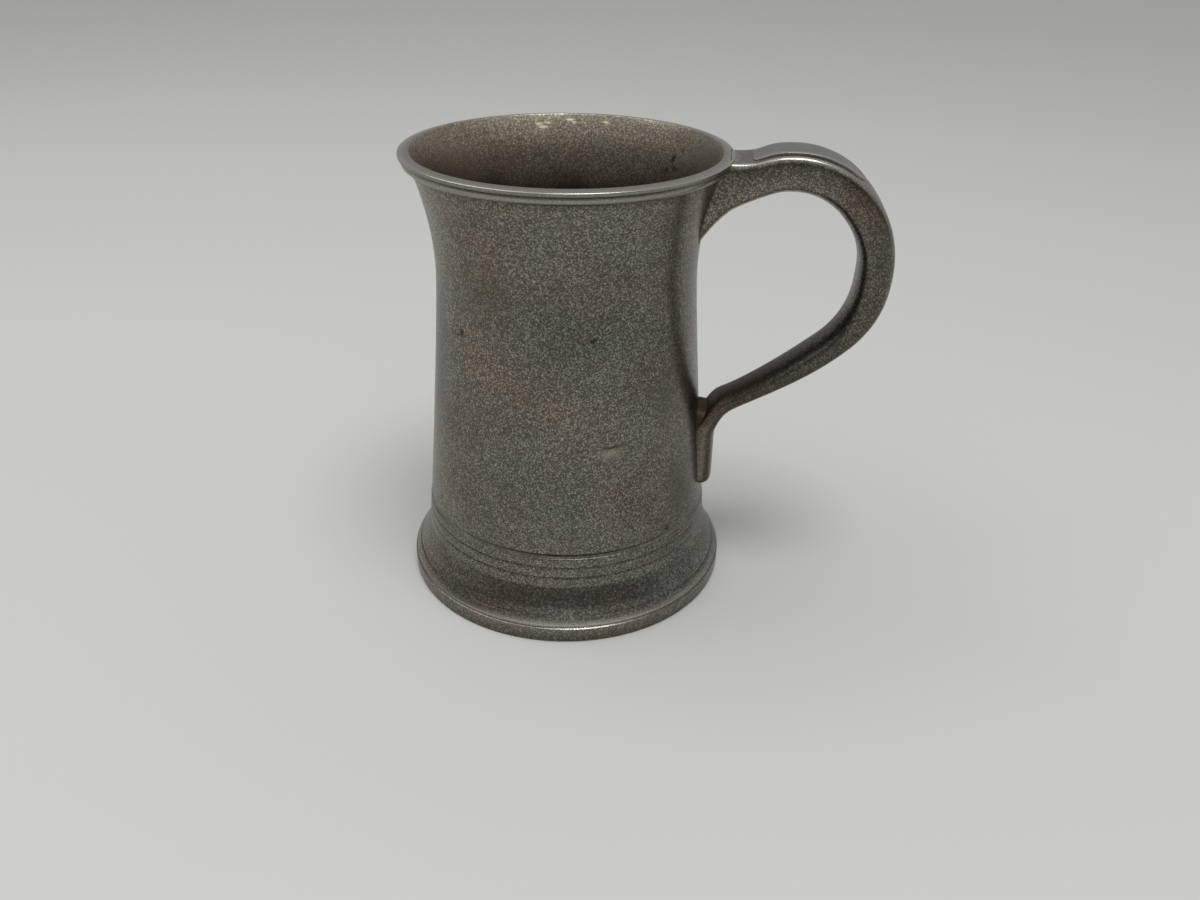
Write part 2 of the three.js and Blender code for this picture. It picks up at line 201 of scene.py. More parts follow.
def pewter(name, look, marks=(), wall=outerWall):
    material = bpy.data.materials.new(name)
    material.use_nodes = True
    tree = material.node_tree
    tree.nodes.clear()
    place = addNode(tree, "ShaderNodeTexCoord", out="Object")
    wearAndHighlight, grimeAndShade, stain = (
        addNode(tree, "ShaderNodeAttribute", out="Fac", attribute_name=layer)
        for layer in ("wearAndHighlight", "grimeAndShade", "stain"))

    # tarnish: warm and cool patches, and darker smudges
    patch = addNode(tree, "ShaderNodeTexNoise", {
        "Vector": place, "Scale": 1 / (look["patchSize"] * mm), "Detail": 4.0, "Roughness": 0.55})
    patchShare = addNode(tree, "ShaderNodeMapRange", {"Value": patch, **noiseSpan})
    tarnish = mixColour(tree, patchShare, linear(look["warm"]), linear(look["cool"]))
    shifted = addNode(tree, "ShaderNodeVectorMath", {0: place, 1: smudgeShift}, operation="ADD")
    smudge = addNode(tree, "ShaderNodeTexNoise", {
        "Vector": shifted, "Scale": 1 / (look["smudgeSize"] * mm), "Detail": 5.0, "Roughness": 0.6})
    smudgeTone = toneFrom(tree, smudge, noiseSpan, look["smudgeDepth"], look["smudgeDepth"])

    # sandy grain of the casting: pale specks on a darker ground
    grainScale = 1 / (look["grainSize"] * mm)
    grain = addNode(tree, "ShaderNodeTexNoise", {
        "Vector": place, "Scale": grainScale, "Detail": 1.0, "Roughness": 0.6})
    grainLevel = multiply(tree, grain, 2.0)
    sand = addNode(tree, "ShaderNodeTexVoronoi", {
        "Vector": place, "Scale": grainScale, "Randomness": 1.0}, out="Color")
    specks = addNode(tree, "ShaderNodeMix", {0: look["sandShare"], 2: grain, 3: sand})
    grainTone = toneFrom(
        tree, specks, grainSpan, look["grainDepth"] * grainDark, look["grainDepth"] * grainPale)

    # turning lines: they follow the radius and the height, so they run round the axis
    parts = addNode(tree, "ShaderNodeSeparateXYZ", {"Vector": place}).node.outputs
    flat = addNode(tree, "ShaderNodeCombineXYZ", {"X": parts["X"], "Y": parts["Y"]})
    radius = addNode(tree, "ShaderNodeVectorMath", {0: flat}, out="Value", operation="LENGTH")
    across = addNode(tree, "ShaderNodeMath", {0: radius, 1: parts["Z"]}, operation="SUBTRACT")
    rings = addNode(tree, "ShaderNodeTexNoise", {
        "W": across, "Scale": 1 / (look["ringSize"] * mm), "Detail": 3.0}, noise_dimensions="1D")
    ringTone = toneFrom(tree, rings, noiseSpan, look["ringDepth"], look["ringDepth"])

    # small dark pits left by the mould
    pit = addNode(tree, "ShaderNodeTexVoronoi", {
        "Vector": place, "Scale": 1 / (look["pitSpacing"] * mm), "Randomness": 1.0}, out="Distance")
    pitShare = addNode(tree, "ShaderNodeMapRange", {
        "Value": pit, "From Min": look["pitShare"], "From Max": look["pitShare"] * 2})

    tone = multiply(tree, multiply(tree, smudgeTone, grainTone), ringTone)
    colour = mixColour(tree, 1.0, tarnish, tone, blend_type="MULTIPLY")
    colour = mixColour(tree, pitShare, linear(look["grimeAndShade"]), colour)

    # rubbed edges and painted highlights keep some of the grain; stain, dirt and painted shade are mixed in
    # where each piece marks them
    wearAndHighlightShare = multiply(tree, wearAndHighlight, grainLevel, use_clamp=True)
    stainShare = multiply(tree, stain, grainLevel, use_clamp=True)
    grimeAndShadeShare = multiply(tree, grimeAndShade, smudgeTone, use_clamp=True)
    for share, tint in ((wearAndHighlightShare, "wornAndHighlight"), (stainShare, "stain"), (grimeAndShadeShare, "grimeAndShade")):
        colour = mixColour(tree, share, colour, linear(look[tint]))

    # single marks, ragged by the grain; the near-white ones inside are painted highlights
    for bearing, height, halfLength, halfHeight, markColour, strength in marks:
        turn = math.radians(bearing)
        centre = Vector((math.cos(turn), math.sin(turn), 0)) * drumRadius(height, wall)
        centre.z = height
        away = addNode(tree, "ShaderNodeVectorMath", {0: place, 1: centre * mm}, operation="SUBTRACT")
        size = (halfLength * mm, halfLength * mm, halfHeight * mm)
        away = addNode(tree, "ShaderNodeVectorMath", {0: away, 1: size}, operation="DIVIDE")
        away = addNode(tree, "ShaderNodeVectorMath", {0: away}, out="Value", operation="LENGTH")
        share = addNode(tree, "ShaderNodeMapRange", {
            "Value": multiply(tree, away, grainLevel), **markSpan, "To Min": strength, "To Max": 0.0})
        colour = mixColour(tree, share, colour, linear(markColour))

    halfSpread = look["roughnessSpread"] / 2
    rough = addNode(tree, "ShaderNodeMapRange", {
        "Value": grain, **noiseSpan,
        "To Min": look["roughness"] + halfSpread, "To Max": look["roughness"] - halfSpread})
    rough = addNode(tree, "ShaderNodeMix", {0: stainShare, 2: rough, 3: look["stainRoughness"]})
    rough = addNode(tree, "ShaderNodeMix", {0: wearAndHighlightShare, 2: rough, 3: look["wornRoughness"]})
    relief = multiply(tree, grain, pitShare)
    skin = addNode(tree, "ShaderNodeBump", {
        "Height": relief, "Strength": look["bumpStrength"], "Distance": look["grainHeight"] * mm})
    shader = addNode(tree, "ShaderNodeBsdfPrincipled", {
        "Base Color": colour, "Metallic": 1.0, "Roughness": rough, "Normal": skin})
    addNode(tree, "ShaderNodeOutputMaterial", {"Surface": shader})
    return material


castPewter = pewter("castPewter", castLook, drumMarks)
turnedPewter = pewter("turnedPewter", turnedLook)
stainedPewterWithPaintedLight = pewter("stainedPewterWithPaintedLight", insideLook, insideMarksAndHighlights, innerWall)
rubbedPewter = pewter("rubbedPewter", rubbedLook)
softSolder = pewter("softSolder", solderLook)
filedSolder = pewter("filedSolder", filedLook)
print("metals made")


def turnPiece(outline, steps):
    # an outline of (radius, height, rounding) corners, turned once about the axis
    mesh = bmesh.new()
    wire = [mesh.verts.new((radius * mm, 0, height * mm)) for radius, height, _ in outline]
    for vert, following in zip(wire, wire[1:] + wire[:1]):
        mesh.edges.new((vert, following))
    for vert, (_, _, rounding) in zip(wire, outline):
        if rounding:
            bmesh.ops.bevel(mesh, geom=[vert], offset=rounding * mm, segments=4, profile=0.5,
                            affect="VERTICES", material=-1)
    bmesh.ops.spin(mesh, geom=mesh.verts[:] + mesh.edges[:], axis=(0, 0, 1), cent=(0, 0, 0),
                   angle=2 * math.pi, steps=steps, use_merge=True)
    bmesh.ops.remove_doubles(mesh, verts=mesh.verts, dist=0.002 * mm)
    bmesh.ops.recalc_face_normals(mesh, faces=mesh.faces)
    mesh.normal_update()
    return mesh


def markRings(mesh, layerName, rings, bearing=0.0, spread=None):
    # a mark that is strongest on each (radius, height, reach, amount) ring, and where spread is given, at one
    # bearing
    layer = mesh.verts.layers.float.get(layerName) or mesh.verts.layers.float.new(layerName)
    for vert in mesh.verts:
        radius = math.hypot(vert.co.x, vert.co.y) / mm
        turned = math.degrees(math.atan2(vert.co.y, vert.co.x)) - bearing
        side = fade((turned + 180) % 360 - 180, 0, spread) if spread else 1.0
        for ringRadius, ringHeight, reach, amount in rings:
            away = math.hypot(radius - ringRadius, vert.co.z / mm - ringHeight)
            vert[layer] = max(vert[layer], side * amount * fade(away, 0, reach))


def finishPiece(name, mesh, materials, nodes, sharpAngle=40):
    data = bpy.data.meshes.new(name)
    for face in mesh.faces:
        face.smooth = True
    for edge in mesh.edges:
        edge.smooth = edge.is_manifold and edge.calc_face_angle(0) < math.radians(sharpAngle)
    mesh.to_mesh(data)
    mesh.free()
    for material in materials:
        data.materials.append(material)
    piece = bpy.data.objects.new(name, data)
    bpy.context.scene.collection.objects.link(piece)
    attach(piece, "root")
    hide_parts(*nodes)
    print(name, "made with", len(data.polygons), "faces")
    return piece


def smoothPiece(piece, levels):
    smooth = piece.modifiers.new("smooth", "SUBSURF")
    smooth.levels = levels
    smooth.render_levels = levels


def makeDrum():
    rim, lip, neck = drum["rim"], drum["lip"], drum["neck"]
    inner, sideEnd = lip - drum["lipWidth"], rim - drum["lipSide"]
    outline = [(drum["spigot"], drum["spigotEnd"], 0.2), (drum["spigot"], drum["shoulder"], 0)]
    outline += [(*outerWall[0][:2], 0.3)] + outerWall[1:-1]
    # neck line, then the bead under the lip, a fine quirk, the lip's side with its worn edge, and its top
    outline += [(neck, neckHeight, 0.1), (drum["beadEnd"], neckHeight + drum["neckLine"], 0.1)]
    beadFace = (drum["beadTop"], rim - drum["beadHeight"])
    lowPull = (beadFace[0], beadFace[1] - drum["beadLow"])
    highPull = (beadFace[0], sideEnd - drum["beadHigh"])
    quirk = (drum["quirk"], sideEnd - drum["quirkDrop"])
    outline += bend(outline[-1][:2], lowPull, beadFace, drum["beadSteps"])
    outline += bend(beadFace, highPull, quirk, drum["beadSteps"])
    outline += [(lip, sideEnd, 0.2), (lip, rim - drum["lipFall"], 0.28), (inner, rim, 0.35)]
    outline += reversed(innerWall[:-1])
    outline += [(innerWall[0][0], drum["spigotEnd"], 0.2)]
    mesh = turnPiece(outline, drum["turns"])
    markRings(mesh, "wearAndHighlight", [(lip - 0.1, rim - drum["lipFall"], 0.32, 1.0), (inner, rim, 0.4, 0.25),
                             (*beadFace, 0.9, 0.3)])
    markRings(mesh, "grimeAndShade", [(neck + 0.2, neckHeight, 0.4, 0.6), (drum["quirk"], sideEnd - 0.2, 0.35, 0.5)])
    # inside, painted shade darkens the wall most a little below the rim and less further down
    insidePaintedShade = [(rim - 50, 0.5), (rim - 22, 0.92), (rim - 11, 0.61), (rim - 2.5, 0.0), (rim, 0.0)]
    grimeAndShade = mesh.verts.layers.float["grimeAndShade"]
    for vert in mesh.verts:
        height = vert.co.z / mm
        if math.hypot(vert.co.x, vert.co.y) / mm < drumRadius(height) - drum["wall"] / 2:
            vert[grimeAndShade] = between(height, insidePaintedShade)
    for face in mesh.faces:
        centre = face.calc_center_median() / mm
        outward = Vector((centre.x, centre.y, 0)).normalized()
        inside = face.normal.dot(outward) < drum["insideFacing"]
        onLip = not inside and centre.z > neckHeight + 0.1
        face.material_index = 1 if onLip else 2 if inside else 0
    finishPiece("drum_cast", mesh, [castPewter, turnedPewter, stainedPewterWithPaintedLight], ["drum"])


makeDrum()


# Foot: a plain band, a flare with a worn edge and a painted highlight, and a scribed sleeve round the drum's
# spigot.
foot = {
    "radius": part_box("foot")[1].x / mm, "top": footTop, "bore": 40.9, "bandHeight": 4.3, "edgeRound": 0.5,
    "quirk": 47.4, "quirkHeight": 4.55, "edge": 47.7, "edgeHeight": 4.95, "flare": 47.3, "flareHeight": 5.35,
    "lineHeight": 7.4, "lineDepth": 0.16, "lineHalf": 0.2, "flareTurn": (44.69, 9.8), "flareEnd": 15.3,
    "sleeve": 41.85, "sleeveLean": 0.08, "grooves": (18.0, 21.2), "grooveHalf": 0.3, "grooveDepth": 0.2,
    "reedRise": 0.12, "turns": 240, "flareSteps": 36, "turnShare": 0.2, "turnSteps": 10,
    "lineDirt": 0.75, "rubbedBearing": -85, "rubbedSpread": 42, "highlightBearing": -82, "highlightSpread": 62,
    "coveDarkReflection": (43.6, 12.4, 2.4, 0.22),
}


def sleeveRadius(height):
    return foot["sleeve"] + foot["sleeveLean"] * (foot["top"] - height)


def makeFoot():
    flareTop = (sleeveRadius(foot["flareEnd"]), foot["flareEnd"])
    outline = [
        (foot["bore"], 0, 0.2), (foot["radius"], 0, foot["edgeRound"]),
        (foot["radius"], foot["bandHeight"], 0.12), (foot["quirk"], foot["quirkHeight"], 0.08),
        (foot["edge"], foot["edgeHeight"], 0.45), (foot["flare"], foot["flareHeight"], 0.25),
    ]
    lowCorners = len(outline)
    # the flare, then a steeper cone up to the sleeve, in short steps so that they stay plain in the light
    turn, edge, top = (Vector(point) for point in (foot["flareTurn"], outline[-1][:2], flareTop))
    turnLow, turnHigh = turn.lerp(edge, foot["turnShare"]), turn.lerp(top, foot["turnShare"])
    outline += bend(edge, edge.lerp(turnLow, 0.5), turnLow, foot["flareSteps"])
    outline += bend(turnLow, turn, turnHigh, foot["turnSteps"])
    outline += bend(turnHigh, turnHigh.lerp(top, 0.5), top, foot["turnSteps"])
    below = flareTop[1]
    for groove in foot["grooves"]:
        outline += [
            (sleeveRadius((below + groove) / 2) + foot["reedRise"], (below + groove) / 2, 0.5),
            (sleeveRadius(groove), groove - foot["grooveHalf"], 0.12),
            (sleeveRadius(groove) - foot["grooveDepth"], groove, 0.08),
            (sleeveRadius(groove), groove + foot["grooveHalf"], 0.12),
        ]
        below = groove
    middle = (below + foot["top"]) / 2
    outline += [(sleeveRadius(middle) + foot["reedRise"], middle, 0.6), (foot["sleeve"], foot["top"], 0.35),
                (foot["bore"], foot["top"], 0.1)]
    mesh = turnPiece(outline, foot["turns"])
    # a scribed line above the edge, which is rubbed away at the front
    lineHeight, lineHalf = foot["lineHeight"], foot["lineHalf"]
    lineRadius = next(radius for radius, height, _ in outline[lowCorners:] if height >= lineHeight)
    grimeAndShade = mesh.verts.layers.float.new("grimeAndShade")
    for vert in mesh.verts:
        away = math.hypot(math.hypot(vert.co.x, vert.co.y) / mm - lineRadius, vert.co.z / mm - lineHeight)
        bearing = math.degrees(math.atan2(vert.co.y, vert.co.x))
        kept = 1 - fade(bearing, foot["rubbedBearing"], foot["rubbedSpread"])
        vert.co.xy *= 1 - foot["lineDepth"] / lineRadius * kept * fade(away, 0, lineHalf)
        vert[grimeAndShade] = foot["lineDirt"] * kept * fade(away, 0, lineHalf * 1.5)
    # the edge is paler where it is worn all round, and towards the front a painted highlight makes it paler
    # still
    markRings(mesh, "wearAndHighlight", [(foot["edge"], foot["edgeHeight"] + 0.1, 0.6, 0.3)])
    frontHighlight = (foot["edge"] - 0.3, foot["edgeHeight"] + 0.45, 1.0, 0.9)
    markRings(mesh, "wearAndHighlight", [frontHighlight], bearing=foot["highlightBearing"], spread=foot["highlightSpread"])
    # painted shade in the quirk under the edge and along the bottom edge, and a painted dark reflection in
    # the cove
    markRings(mesh, "grimeAndShade", [(foot["quirk"], foot["quirkHeight"], 0.3, 0.6), (foot["radius"], 0, 0.8, 0.6),
                              foot["coveDarkReflection"]])
    markRings(mesh, "grimeAndShade", [
        (sleeveRadius(groove) - foot["grooveDepth"], groove, 0.22, 0.4) for groove in foot["grooves"]])
    finishPiece("foot_ring", mesh, [castPewter], ["foot"])


makeFoot()


# Floor: a soldered disc with a fillet of solder round it, and the ring of solder in the foot seam.
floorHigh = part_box("floor_disc")[1] / mm
floorDisc = {
    "radius": floorHigh.x, "top": floorHigh.z, "dish": 0.5, "rings": (8.0, 16.0, 24.0, 32.0), "turns": 160,
    "dirtInset": 4.0, "filletPull": 0.1, "filletSteps": 8,
}
seam = {
    "low": 41.72, "high": 41.6, "hollow": 0.1, "overlap": 0.1, "edgeDrop": 0.25, "edgeIn": 0.15,
    "shadeBearing": -80, "shadeSpread": 40,
}


def makeFloor():
    top = floorDisc["top"]
    outline = [(0, 0, 0)]
    outline += [(ring, 0, 0) for ring in floorDisc["rings"]]
    outline += [(floorDisc["radius"], 0, 0.3), (floorDisc["radius"], top, 0.2)]
    for ring in reversed(floorDisc["rings"]):
        hollow = floorDisc["dish"] * (1 - (ring / floorDisc["radius"]) ** 2)
        outline.append((ring, top - hollow, 0))
    outline.append((0, top - floorDisc["dish"], 0))
    mesh = turnPiece(outline, floorDisc["turns"])
    markRings(mesh, "grimeAndShade", [(floorDisc["radius"] - floorDisc["dirtInset"], top, 3.0, 0.6)])
    for face in mesh.faces:
        face.material_index = 1 if face.normal.z > 0.5 else 0
    finishPiece("floor_plate", mesh, [castPewter, stainedPewterWithPaintedLight], ["floor_disc"])

    low, high = (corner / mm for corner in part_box("floor_solder"))
    rise = high.z - low.z
    pull = rise * floorDisc["filletPull"]
    inner = (high.x - rise, low.z)
    outline = [(*inner, 0), (high.x, low.z, 0), (high.x, high.z, 0)]
    outline += bend((high.x, high.z), (high.x - pull, low.z + pull), inner, floorDisc["filletSteps"])[:-1]
    mesh = turnPiece(outline, floorDisc["turns"])
    finishPiece("floor_fillet", mesh, [softSolder], ["floor_solder"])

    low, high = foot["top"] - seam["overlap"], drum["shoulder"] + seam["overlap"]
    middle = (seam["low"] + seam["high"]) / 2 - seam["hollow"]
    edge = (seam["high"], high - seam["edgeDrop"])
    outline = [(foot["bore"], low, 0), (seam["low"], low, 0), (middle, (low + high) / 2, 0.2), (*edge, 0),
               (seam["high"] - seam["edgeIn"], high, 0), (foot["bore"], high, 0)]
    mesh = turnPiece(outline, foot["turns"])
    markRings(mesh, "grimeAndShade", [(*edge, 0.3, 0.1)])
    # painted shade under the seam's small ledge, darkest towards the front
    markRings(mesh, "grimeAndShade", [(*edge, 0.35, 0.9)], bearing=seam["shadeBearing"], spread=seam["shadeSpread"])
    finishPiece("seam_solder", mesh, [filedSolder], ["foot_solder"])


makeFloor()


# Handle: one casting along a rail, with a web under the lip and a tongue on the drum.
handle = {
    "rootStart": 33.7, "rootTop": drum["rim"] - 0.7,
    "crestTop": drum["rim"] + 1.55, "crestOut": drum["lip"] + 15.5,
    "reach": drum["lip"] + 43.8, "bellyDrop": 29.8, "armRise": 25.3, "armOutset": 4.95,
    "tailEnd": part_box("tail_solder")[0].z / mm, "tailLength": 16.0, "tailStandOff": 4.4, "tailRound": 2.6,
    "webDepth": 16.8, "webLength": 18.3, "straightPull": 3.0, "quarterLean": 0.5523, "bellyLean": 0.455,
    "armLean": 0.575, "armLift": 0.304, "elbowLean": 0.65, "tongueLean": 0.3,
    "ringPoints": 56, "ringGap": 1.2, "join": 24.0, "sink": 0.8, "tongueSink": 1.2, "rollSlope": 0.75,
}


def railKnots():
    # the outer line of the handle in the XZ plane, as curves of four points
    bellyHeight = handle["crestTop"] - handle["bellyDrop"]
    tailEnd, pull, quarter = handle["tailEnd"], handle["straightPull"], handle["quarterLean"]
    elbowEnd = tailEnd + handle["tailLength"]
    armEnd = tailEnd + handle["armRise"]
    tailOut = drumRadius(elbowEnd) + handle["tailStandOff"]
    armOut = tailOut + handle["armOutset"]
    lip, crest, reach = drum["lip"], handle["crestOut"], handle["reach"]
    rootStart, rootTop, crestTop = handle["rootStart"], handle["rootTop"], handle["crestTop"]
    armRun = handle["armLean"] * (reach - armOut)
    armClimb = handle["armLift"] * (bellyHeight - armEnd)
    elbowRun = handle["elbowLean"] * handle["armOutset"]
    rise = (lip + crest) / 2
    return [
        ((rootStart, rootTop), (rootStart + pull, rootTop), (lip - pull, rootTop), (lip, rootTop)),
        ((lip, rootTop), (rise, rootTop), (rise, crestTop), (crest, crestTop)),
        ((crest, crestTop), (crest + quarter * (reach - crest), crestTop),
         (reach, bellyHeight + quarter * handle["bellyDrop"]), (reach, bellyHeight)),
        ((reach, bellyHeight), (reach, bellyHeight - handle["bellyLean"] * (bellyHeight - armEnd)),
         (armOut + armRun, armEnd + armClimb), (armOut, armEnd)),
        ((armOut, armEnd), (armOut - elbowRun, armEnd - elbowRun * armClimb / armRun),
         (tailOut, elbowEnd + handle["tongueLean"] * (armEnd - elbowEnd)), (tailOut, elbowEnd)),
        ((tailOut, elbowEnd), (tailOut, elbowEnd - pull), (tailOut, tailEnd + pull), (tailOut, tailEnd)),
    ]


railPoints = []
railStations = []
railLength = 0.0
for knots in railKnots():
    curve = geometry.interpolate_bezier(*(Vector((x, 0, z)) for x, z in knots), 80)
    for before, after in zip(curve, curve[1:]):
        railPoints.append((railLength, before, (after - before).normalized()))
        railLength += (after - before).length
    railStations.append(railLength)
lipPlace, crestPlace, bellyPlace, armPlace, elbowPlace, endPlace = railStations
kneePlace, bendPlace = (bellyPlace + armPlace) / 2, (armPlace + elbowPlace) / 2


def onRail(place):
    # the point on the rail at this distance, and the direction away from the grip
    low, high = 0, len(railPoints) - 1
    while low < high:
        middle = (low + high + 1) // 2
        low, high = (middle, high) if railPoints[middle][0] <= place else (low, middle - 1)
    start, point, along = railPoints[low]
    return point + along * (place - start), Vector((-along.z, 0, along.x))


loopPlace = (crestPlace + bellyPlace) / 2
gripThickness = [(0, 9.8), (crestPlace, 9.9), (loopPlace, 9.9), (bellyPlace, 9.2), (kneePlace, 6.6),
                 (armPlace, 5.0), (bendPlace, 4.8), (elbowPlace, 6.4), (endPlace, 6.4)]
# the lower side of the arm swells a little
gripSwell = [(bellyPlace, 0.0), (kneePlace - 6, 1.1), (kneePlace + 8, 1.1), (armPlace, 0.8), (bendPlace, 0.4),
             (elbowPlace, 0.0)]
gripWidth = [(0, 17.6), (lipPlace, 17.4), (crestPlace, 16.9), (bellyPlace, 15.4), (kneePlace, 12.8),
             (armPlace, 12.0), (elbowPlace, 14.6), (endPlace, 14.6)]
outerSquareness = [(0, 12.0), (crestPlace, 12.0), (bellyPlace, 5.0), (kneePlace, 3.0), (armPlace, 2.6),
                   (endPlace, 3.4)]
innerSquareness = [(0, 3.8), (crestPlace, 2.9), (bellyPlace, 2.8), (kneePlace, 2.3), (armPlace, 2.2),
                   (bendPlace, 8.0), (elbowPlace, 10.0), (endPlace, 10.0)]
cornerWear = [(0, 0.6), (lipPlace, 0.9), (crestPlace, 1.0), (bellyPlace - 12, 0.7), (bellyPlace, 0.25),
              (kneePlace, 0.0), (armPlace, 0.0), (elbowPlace, 0.3), (endPlace, 0.3)]
# the sides lean in a little towards the top, as they must to leave the mould
gripDraft = [(0, 0.15), (crestPlace, 0.15), (bellyPlace, 0.06), (kneePlace, 0.0)]
# painted shade, darker down the loop and along the arm
gripPaintedShade = [(0, 0.0), (crestPlace, 0.0), (loopPlace, 0.28), (bellyPlace, 0.32), (kneePlace, 0.38),
               (armPlace, 0.38), (bendPlace, 0.25), (elbowPlace, 0.15), (endPlace, 0.15)]
# painted shade below the top's corners and on the arm's and tongue's outer face
edgePaintedShade = [(0, 0.15), (crestPlace, 0.2), (bellyPlace, 0.1), (kneePlace, 0.0)]
undersidePaintedShade = [(bellyPlace, 0.0), (kneePlace, 0.2), (armPlace, 0.25), (elbowPlace, 0.55),
                    (endPlace, 0.55)]
tongueWear = [(armPlace, 0.0), (elbowPlace, 0.45), (endPlace, 0.45)]


def squared(value, squareness):
    return math.copysign(abs(value) ** (2 / squareness), value)


def handlePoint(place, angle):
    # a point of the handle's skin, from its distance along the rail and its angle round the section
    point, outward = onRail(place)
    squareness = between(place, outerSquareness if math.sin(angle) > 0 else innerSquareness)
    end = max(0.0, 1 - (endPlace - place) / handle["tailRound"])
    drawn = handle["tailRound"] * (1 - math.sqrt(max(0.0, 1 - end * end)))
    web = handle["webDepth"] * max(0.0, 1 - place / handle["webLength"]) ** 2
    swell = between(place, gripSwell)
    thickness = between(place, gripThickness) + swell + web - drawn
    width = between(place, gripWidth) - 2 * drawn
    rise = squared(math.sin(angle), squareness)
    width *= 1 - between(place, gripDraft) * max(0.0, rise - 0.5)
    skin = point + outward * (thickness * (rise - 1) / 2 + swell - drawn)
    skin.y += squared(math.cos(angle), squareness) * width / 2
    return skin


def rootDepth(height):
    # how far from the axis the drum's outside is, for the handle's root: at the lip it is the roll's inside
    return drumRadius(min(height, neckHeight)) + max(0.0, height - neckHeight) * handle["rollSlope"]


def leaveDrum(angle, sink):
    # the distance along the rail at which the skin at this angle comes out of the drum
    low, high = 0.0, lipPlace + 4
    for _ in range(30):
        middle = (low + high) / 2
        point = handlePoint(middle, angle)
        inside = math.hypot(point.x, point.y) < rootDepth(point.z) - sink
        low, high = (middle, high) if inside else (low, middle)
    return low


def loft(points, places, skin):
    # rings of points grown one from the other; each point keeps its ring's place and its angle
    mesh = bmesh.new()
    placeLayer = mesh.verts.layers.float.new("place")
    angleLayer = mesh.verts.layers.float.new("angle")
    ring = bmesh.ops.create_circle(mesh, cap_ends=False, segments=points, radius=1)["verts"]
    for vert in ring:
        vert[angleLayer] = math.atan2(vert.co.y, vert.co.x) + math.pi / points
    edges = mesh.edges[:]
    for step, place in enumerate(places):
        if step:
            grown = bmesh.ops.extrude_edge_only(mesh, edges=edges)["geom"]
            ring = [item for item in grown if isinstance(item, bmesh.types.BMVert)]
            inRing = set(ring)
            edges = [item for item in grown if isinstance(item, bmesh.types.BMEdge)]
            edges = [edge for edge in edges if inRing.issuperset(edge.verts)]
        for vert in ring:
            vert[placeLayer] = place
            vert.co = skin(place, vert[angleLayer]) * mm
    return mesh


def closeEnds(mesh):
    bmesh.ops.holes_fill(mesh, edges=[edge for edge in mesh.edges if edge.is_boundary], sides=0)
    bmesh.ops.recalc_face_normals(mesh, faces=mesh.faces)


def closeRound(mesh):
    bmesh.ops.bridge_loops(mesh, edges=[edge for edge in mesh.edges if edge.is_boundary])
    bmesh.ops.recalc_face_normals(mesh, faces=mesh.faces)


def markLoft(mesh, layerName, amount):
    layer = mesh.verts.layers.float.new(layerName)
    place, angle = mesh.verts.layers.float["place"], mesh.verts.layers.float["angle"]
    for vert in mesh.verts:
        vert[layer] = amount(vert[place], vert[angle])


# Thumb plate: a thin rubbed strip that lies along the crest, with a painted shadow beside it on the handle.
plate = {
    "start": lipPlace + 4.6, "length": 30.8, "width": 11.8, "gap": -0.45, "lift": 0.2, "cornerRound": 1.2,
    "endRound": 5.0, "squareness": 9.0, "underSquareness": 24.0, "points": 40, "stepGap": 0.8,
}
# it starts almost flush with the crest
plateThickness = [(0, 0.75), (6, 1.15), (plate["length"] / 2, 1.15), (plate["length"], 0.7)]


def handleSkin(place, angle):
    # near the drum the rings lean, so that the first one lies on the drum's wall
    own = place
    if place <= handle["join"]:
        start = leaveDrum(angle, handle["sink"])
        own = start + place * (1 - start / handle["join"])
    point = handlePoint(own, angle)
    near = rootDepth(point.z) - handle["tongueSink"]
    if place > kneePlace and math.hypot(point.x, point.y) < near:
        point.x = math.sqrt(near ** 2 - point.y ** 2)
    return point


def handleWear(place, angle):
    # rubbed along the top's corners, on a ridge beside the lip and on the tongue's sides
    corner = max(0.0, math.sin(angle)) * abs(math.cos(angle)) * 2
    ridge = 0.4 * fade(place, 2.8, 0.8) * max(0.0, math.sin(angle))
    side = between(place, tongueWear) * fade(math.sin(angle), 0.05, 0.07)
    return max(between(place, cornerWear) * corner ** 3, ridge, side)


def handleGrimeAndShade(place, angle):
    # dirt in the joint with the drum, a painted shadow beside the thumb plate, and painted shade down the
    # loop, along the arm and under the top's corners
    across = squared(math.cos(angle), between(place, outerSquareness)) * between(place, gripWidth) / 2
    underPlate = plate["start"] < place < plate["start"] + plate["length"] and math.sin(angle) > 0
    byPlate = 0.4 * fade(abs(across), plate["width"] / 2, 0.6) if underPlate else 0
    underside = between(place, undersidePaintedShade) * min(1.0, max(0.0, math.sin(angle) * 2 + 0.3))
    underEdge = between(place, edgePaintedShade) * fade(math.sin(angle), 0.1, 0.12)
    return max(0.8 * fade(place, 0, 1.4), byPlate, between(place, gripPaintedShade) + underside + underEdge)


def handleStain(place, angle):
    # brown on the top beside the lip, in the notch over the tongue and inside the arm
    top = 0.6 * fade(place, lipPlace + 2.5, 3.0) * min(1.0, max(0.0, math.sin(angle) * 4 - 2))
    inside = max(0.0, -math.sin(angle)) ** 2
    notch = fade(place, bendPlace, 5) * (0.3 + 0.45 * inside)
    return max(top, notch, 0.5 * fade(place, armPlace, 25) * min(1.0, max(0.0, 0.5 - math.sin(angle))))


def makeHandle():
    straight = endPlace - handle["tailRound"]
    count = round(straight / handle["ringGap"])
    places = [straight * step / count for step in range(count + 1)]
    places += [straight + handle["tailRound"] * math.sin(step * math.pi / 16) for step in range(1, 8)]
    mesh = loft(handle["ringPoints"], places, handleSkin)
    closeEnds(mesh)
    markLoft(mesh, "wearAndHighlight", handleWear)
    markLoft(mesh, "grimeAndShade", handleGrimeAndShade)
    markLoft(mesh, "stain", handleStain)
    piece = finishPiece("handle_cast", mesh, [castPewter], ["handle"], sharpAngle=75)
    smoothPiece(piece, 1)


makeHandle()


